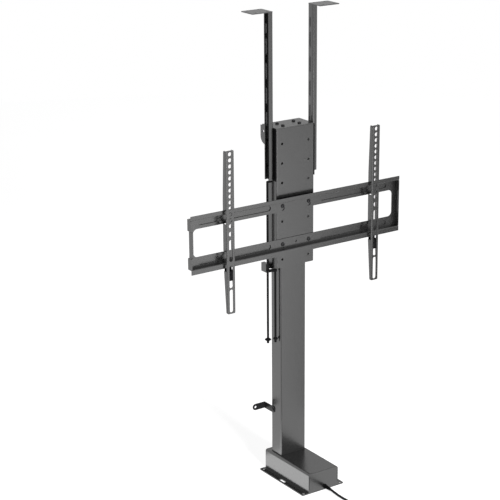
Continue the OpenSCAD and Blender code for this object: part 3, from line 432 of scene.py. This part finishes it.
# Strain relief
# The lead leaves the cover's front through a black nylon sleeve that snaps into its hole. A flange sits
# inside and outside the sheet, and the tapering tail has ribs so that it bends with the lead.
relief_start = Vector((0.005, -0.1555, 0.009))
relief_rings = [(-0.0050, 0.0050), (-0.0047, 0.0057), (-0.0022, 0.0057), (-0.0020, 0.0045), (0.0, 0.0045),
                (0.0001, 0.0053), (0.0005, 0.0058), (0.0020, 0.0058), (0.0025, 0.0053), (0.0026, 0.0045),
                (0.0042, 0.0044), (0.0044, 0.0050), (0.0062, 0.0049), (0.0064, 0.0040), (0.0078, 0.0039),
                (0.0080, 0.0048), (0.0098, 0.0047), (0.0100, 0.0038), (0.0114, 0.0038), (0.0116, 0.0046),
                (0.0134, 0.0045), (0.0136, 0.0037), (0.0150, 0.0037), (0.0152, 0.0044), (0.0170, 0.0043),
                (0.0172, 0.0036), (0.0186, 0.0036), (0.0188, 0.0042), (0.0206, 0.0041), (0.0208, 0.0036),
                (0.0222, 0.0036), (0.0224, 0.0039), (0.0246, 0.0038), (0.0250, 0.0035)]
plastic = finish_material("black plastic", (0.006, 0.006, 0.0065), roughness=0.5,
                          grain_scale=1500.0, grain_depth=0.00006, shade_change=0.2, specular=0.06)
strain_relief = turned("strain_relief", relief_rings, relief_start, toward_front)
paint(strain_relief, plastic)
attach(strain_relief, "base")
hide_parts("cord_gland")


# Painted steel pieces
# The plate, tubes, carriage, frame, arms and brackets are folded or stamped steel with a fine black
# powder coat. Bends and cut edges are a little round, so each piece is a softened copy of its solid.
coat_ior = 1.65
merge_within = 0.000005
flat_within = math.radians(0.5)
rounded_over = math.radians(40)
shaded_under = math.radians(50)
powder_coat = finish_material("black powder coat", (0.009, 0.009, 0.009), roughness=0.25,
                              grain_scale=1100.0, grain_depth=0.00001, shade_change=0.12, specular=0.8)
powder_coat.node_tree.nodes["Principled BSDF"].inputs["IOR"].default_value = coat_ior


def body_of(node):
    return cad[node].parent.name.removeprefix("body:")


def softened(node, name, width, material, segments=2):
    piece = bpy.data.objects.new(name, cad[node].data.copy())
    scene.collection.objects.link(piece)
    deselect_all()
    piece.select_set(True)
    bpy.context.view_layer.objects.active = piece
    bpy.ops.mesh.customdata_custom_splitnormals_clear()
    bpy.ops.object.mode_set(mode="EDIT")
    bpy.ops.mesh.select_all(action="SELECT")
    bpy.ops.mesh.remove_doubles(threshold=merge_within)
    bpy.ops.mesh.dissolve_limited(angle_limit=flat_within)
    bpy.ops.object.mode_set(mode="OBJECT")
    edge = piece.modifiers.new("soft edges", "BEVEL")
    edge.width = width
    edge.segments = segments
    edge.limit_method = "ANGLE"
    edge.angle_limit = rounded_over
    edge.use_clamp_overlap = True
    bpy.ops.object.modifier_apply(modifier=edge.name)
    bpy.ops.object.shade_smooth_by_angle(angle=shaded_under)
    flat = piece.modifiers.new("flat faces", "WEIGHTED_NORMAL")
    flat.keep_sharp = True
    bpy.ops.object.modifier_apply(modifier=flat.name)
    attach(piece, body_of(node))
    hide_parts(node)
    paint(piece, material)


coated_nodes = {
    "base_plate": 0.0004, "base_cover": 0.0004, "outer_tube": 0.0003, "top_cap": 0.0004,
    "carriage_shell": 0.0004, "tv_frame": 0.0004, "arm_left": 0.0004, "arm_right": 0.0004,
    "lid_bracket_left": 0.0003, "lid_bracket_right": 0.0003,
}
for node, width in coated_nodes.items():
    softened(node, node + "_soft", width, powder_coat)


# Wall straps
# Two flat black oxide steel straps are riveted to the column's sides and bent out to the wall, where a
# round hole takes the wall screw.
black_oxide = finish_material("black oxide", (0.012, 0.012, 0.013), roughness=0.3,
                              grain_scale=700.0, grain_depth=0.00004, shade_change=0.2, specular=0.4)
strap_rim = 0.0004
for node in ("wall_strap_left", "wall_strap_right"):
    softened(node, node + "_soft", strap_rim, black_oxide)


# Screws, bolts and rivets
# The visible ones are black oxide steel with rounded rims: socket screws in the cap, button head bolts with
# washers in the frame, screws with washers in the lid brackets and a rivet in each wall strap.
rim_widths = {"cap_screws": 0.0003, "frame_bolts": 0.0002, "frame_washers": 0.0002, "bracket_screws": 0.0003,
              "bracket_washers": 0.0002, "strap_rivets": 0.0003}
for node, width in rim_widths.items():
    softened(node, node + "_rimmed", width, black_oxide)


# Hanging rods
# Two round rods hang at the carriage's left side under a coated guide block. Their finish is near black and
# almost without gloss, darker than the coat, and paints in the shade they hang in: painted shade. A black
# plastic link joins their tops, and a turned black knob with a ball below it closes each lower end.
# Near-black, low-gloss rod finish: painted shade, standing in for the shade beside the column.
rod_dark_painted_shade = finish_material("matt black rod", (0.004, 0.004, 0.0042), roughness=0.45,
                            grain_scale=900.0, grain_depth=0.00003, shade_change=0.2, specular=0.12)
for node in ("rod_long", "rod_short"):
    paint(cad[node], rod_dark_painted_shade)
rod_block_rim = 0.0010
softened("rod_block", "rod_block_soft", rod_block_rim, powder_coat, segments=3)
rod_knob_z = 0.383
knob_places = {"knob_long": (-0.066, -0.003, 0.0085), "knob_short": (-0.0465, -0.0083, 0.0063)}
knob_foot = [(-0.01085, 0.0006), (-0.0106, 0.0015), (-0.0099, 0.0024), (-0.0088, 0.0031), (-0.0075, 0.0034),
             (-0.0064, 0.0032), (-0.0058, 0.0027)]
knob_head = [(0.0042, 0.0031), (0.0050, 0.0026)]
knob_rim = 0.0006
knob_rim_in = 0.0002
knob_neck = (-0.0050, 0.0030)


def turned_knob(name, x, y, widest):
    rings = knob_foot + [knob_neck, (-knob_rim, widest - knob_rim_in), (0.0, widest),
                         (knob_rim, widest - knob_rim_in)] + knob_head
    return turned(name, rings, (x, y, rod_knob_z))


rod_knobs = join_all([turned_knob(name, *place) for name, place in knob_places.items()], "rod_knobs_turned")
paint(rod_knobs, plastic)
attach(rod_knobs, body_of("rod_knobs"))
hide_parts("rod_knobs")


# Plastic pieces
# The pads between carriage and lid brackets, the rods' link and the arms' latches are moulded black nylon
# with rounded edges. The pads' black also stands in for the shade on the carriage's side in front of the
# left
# lid bracket: painted shade. The glides, the motor mounts and the power supply's case, inside, are plain.
# The side pads' black is partly painted shade: it fills the shaded strip in front of the left lid bracket.
moulded_nodes = {"side_pad_left": 0.0006, "side_pad_right": 0.0006, "rod_link": 0.0008,
                 "latch_left": 0.0005, "latch_right": 0.0005}
for node, width in moulded_nodes.items():
    softened(node, node + "_moulded", width, plastic, segments=3)
for node in ("power_supply", "motor_mounts", "upper_glides", "lower_glides"):
    paint(cad[node], plastic)


# Inner tube
# The tube that carries the carriage slides out of the column as the lift rises. It is drawn steel with a
# satin dark grey coat, a little round at its end. The hidden column foot and motor housing have it too.
tube_rim = 0.0003
grey_coat = finish_material("grey coat", (0.10, 0.10, 0.103), roughness=0.35,
                            grain_scale=900.0, grain_depth=0.00005, shade_change=0.12)
softened("inner_tube", "inner_tube_soft", tube_rim, grey_coat)
for node in ("column_foot", "motor_housing"):
    paint(cad[node], grey_coat)


# Drive
# The motor's gearbox turns a lead screw in a bronze nut. Its steel parts and the hidden screws are
# zinc-plated, and the control board is green.
zinc = finish_material("zinc plate", (0.42, 0.43, 0.45), roughness=0.35,
                       grain_scale=700.0, grain_depth=0.00004, shade_change=0.2, metallic=1.0)
for node in ("cover_screws", "foot_bolts", "frame_nuts", "bracket_nuts", "thrust_bearing", "lead_screw",
             "gearbox", "spindle_collar", "tube_end_block"):
    paint(cad[node], zinc)
bronze = finish_material("nut bronze", (0.45, 0.30, 0.12), roughness=0.3,
                         grain_scale=500.0, grain_depth=0.00004, shade_change=0.2, metallic=1.0)
paint(cad["spindle_nut"], bronze)
board_green = finish_material("circuit board", (0.02, 0.10, 0.05), roughness=0.35,
                              grain_scale=500.0, grain_depth=0.00004, shade_change=0.3)
paint(cad["control_board"], board_green)


# Floor
# A plain round floor of pale studio paper, laid flat under the lift. The camera and the gloss see it near
# white, with the lift's soft shadow on it.
floor_albedo = 0.8
floor_glow = 0.86
floor_radius = 4.6
floor_drop = 0.0005


def any_ray(tree, first, *others):
    path = tree.nodes.new("ShaderNodeLightPath")
    seen = path.outputs[first]
    for ray in others:
        either = tree.nodes.new("ShaderNodeMath")
        either.operation = "MAXIMUM"
        tree.links.new(seen, either.inputs[0])
        tree.links.new(path.outputs[ray], either.inputs[1])
        seen = either.outputs[0]
    return seen


deselect_all()
bpy.ops.mesh.primitive_circle_add(vertices=64, radius=floor_radius, fill_type="NGON",
                                  location=(0.0, 0.0, -floor_drop))
floor = bpy.context.object
floor.name = "floor"
floor_material = bpy.data.materials.new("studio floor")
floor_material.use_nodes = True
tree = floor_material.node_tree
tree.nodes.clear()
paper = tree.nodes.new("ShaderNodeBsdfDiffuse")
paper.inputs["Color"].default_value = (floor_albedo, floor_albedo, floor_albedo, 1.0)
glow = tree.nodes.new("ShaderNodeEmission")
glow.inputs["Strength"].default_value = floor_glow
both = tree.nodes.new("ShaderNodeAddShader")
tree.links.new(paper.outputs[0], both.inputs[0])
tree.links.new(glow.outputs[0], both.inputs[1])
choice = tree.nodes.new("ShaderNodeMixShader")
tree.links.new(any_ray(tree, "Is Camera Ray", "Is Glossy Ray"), choice.inputs["Fac"])
tree.links.new(paper.outputs[0], choice.inputs[1])
tree.links.new(both.outputs[0], choice.inputs[2])
output = tree.nodes.new("ShaderNodeOutputMaterial")
tree.links.new(choice.outputs[0], output.inputs["Surface"])
paint(floor, floor_material)


# Reflector cards
# Cards stand and lie round the set, as a product photographer lays them, and are seen in reflections only.
# Two black wedges on the floor put a dark line in the gloss of the bends, a white card with a black back
# lights the cover's side, and a grey one far behind calms the shine of the level faces.
black_wedges = {"card_left": (-38.0, -15.0), "card_right": (39.5, 52.0)}
wedge_inner = 0.42
wedge_outer = 4.5
wedge_steps = 8
card_rise = 0.0002
white_card_rise = 0.0034
white_card_flat = [(-0.30, -0.165), (-0.0535, -0.165), (-0.0535, 0.10), (-0.30, 0.10)]
grey_card_upright = [(5.4, 3.6, 0.0), (5.4, 3.6, 3.0), (1.2, 6.4, 3.0), (1.2, 6.4, 0.0)]
black_card_strength = 0.05
grey_card_strength = 0.55
white_card_strength = 2.6


def card_material(name, strength):
    material = bpy.data.materials.new(name)
    material.use_nodes = True
    tree = material.node_tree
    tree.nodes.clear()
    face = tree.nodes.new("ShaderNodeEmission")
    face.inputs["Strength"].default_value = strength
    output = tree.nodes.new("ShaderNodeOutputMaterial")
    tree.links.new(face.outputs[0], output.inputs["Surface"])
    return material


def lay_card(name, rim, material):
    mesh = bpy.data.meshes.new(name)
    mesh.from_pydata(rim, [], [tuple(range(len(rim)))])
    card = bpy.data.objects.new(name, mesh)
    scene.collection.objects.link(card)
    card.visible_camera = False
    card.visible_diffuse = False
    card.visible_shadow = False
    card.visible_transmission = False
    paint(card, material)


def arc(radius, turns):
    return [(radius * math.sin(turn), -radius * math.cos(turn)) for turn in turns]


def wedge_flat(turn_from, turn_to):
    step = (turn_to - turn_from) / wedge_steps
    turns = [math.radians(turn_from + step * i) for i in range(wedge_steps + 1)]
    return arc(wedge_outer, turns) + arc(wedge_inner, turns[::-1])


def lifted(flat, rise):
    return [(x, y, rise) for x, y in flat]


black_card = card_material("black card", black_card_strength)
grey_card = card_material("grey card", grey_card_strength)
white_card = card_material("white card", white_card_strength)
for name, (turn_from, turn_to) in black_wedges.items():
    lay_card(name, lifted(wedge_flat(turn_from, turn_to), card_rise), black_card)
lay_card("card_white", lifted(white_card_flat, white_card_rise), white_card)
lay_card("card_white_back", lifted(white_card_flat, white_card_rise - card_rise), black_card)
lay_card("card_back", grey_card_upright, grey_card)


# Light
# One large soft lamp stands in front, a little to the camera's right, and the white room gives the rest.
# The lamp has no mirror image of its own in the gloss, where the room and the cards show.
room_strength = 0.15
white_strength = 1.0
lamp_place = Vector((-0.6, -4.4, 1.4))
lamp_aim = Vector((0.0, 0.0, 0.7))
lamp_size = 1.2
lamp_power = 272.0
world = bpy.data.worlds.new("studio")
scene.world = world
world.use_nodes = True
tree = world.node_tree
tree.nodes.clear()
room = tree.nodes.new("ShaderNodeBackground")
room.inputs["Strength"].default_value = room_strength
white = tree.nodes.new("ShaderNodeBackground")
white.inputs["Color"].default_value = (1.0, 1.0, 1.0, 1.0)
white.inputs["Strength"].default_value = white_strength
choice = tree.nodes.new("ShaderNodeMixShader")
tree.links.new(any_ray(tree, "Is Camera Ray", "Is Transmission Ray", "Is Glossy Ray"), choice.inputs["Fac"])
tree.links.new(room.outputs[0], choice.inputs[1])
tree.links.new(white.outputs[0], choice.inputs[2])
output = tree.nodes.new("ShaderNodeOutputWorld")
tree.links.new(choice.outputs[0], output.inputs["Surface"])
lamp_data = bpy.data.lights.new("key lamp", "AREA")
lamp_data.shape = "DISK"
lamp_data.size = lamp_size
lamp_data.energy = lamp_power
lamp = bpy.data.objects.new("key lamp", lamp_data)
lamp.location = lamp_place
lamp.rotation_euler = (lamp_aim - lamp_place).to_track_quat("-Z", "Y").to_euler()
lamp.visible_glossy = False
scene.collection.objects.link(lamp)

scene.view_settings.view_transform = "Standard"
